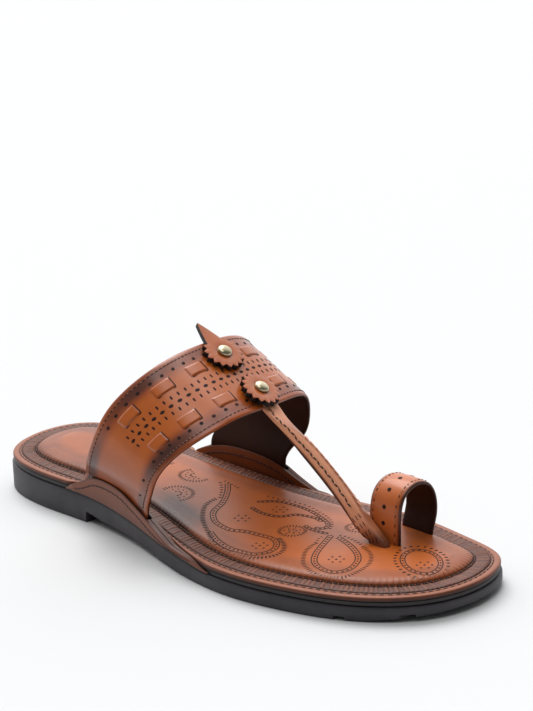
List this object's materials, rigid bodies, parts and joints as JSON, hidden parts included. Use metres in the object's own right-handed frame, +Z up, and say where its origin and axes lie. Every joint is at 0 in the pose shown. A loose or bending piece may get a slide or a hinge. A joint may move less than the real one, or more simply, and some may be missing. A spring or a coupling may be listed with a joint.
{
  "type": "kolhapuri sandal",
  "caption": "Flat leather sandal for the right foot, with a wide punched instep strap, a braided toe strap, a toe ring and a tooled, cushioned footbed on a black rubber sole.",
  "frame": {"origin": "on the floor under the middle of the sandal's bounding box", "axes": "+Y towards the toe, +X to the wearer's right (the outer side of this right shoe), +Z up from the floor"},
  "size_m": [0.1024, 0.2762, 0.0917],
  "materials": {
    "black_rubber": "matt, slightly rough black rubber",
    "black_board": "matt leather board with a black-dyed edge",
    "tan_leather": "polished tan leather, darker towards its edges",
    "brown_leather": "pleated dark brown leather",
    "antique_brass": "dulled brass"
  },
  "bodies": {
    "root": {"outsole": "black_rubber", "midsole": "black_board", "insole": "tan_leather", "braid_band": "brown_leather", "upper": "tan_leather", "toe_ring": "tan_leather", "lateral_ear": "tan_leather", "medial_ear": "tan_leather", "rear_rosette": "tan_leather", "front_rosette": "tan_leather", "rear_rivet": "antique_brass", "front_rivet": "antique_brass"}
  },
  "joints": []
}
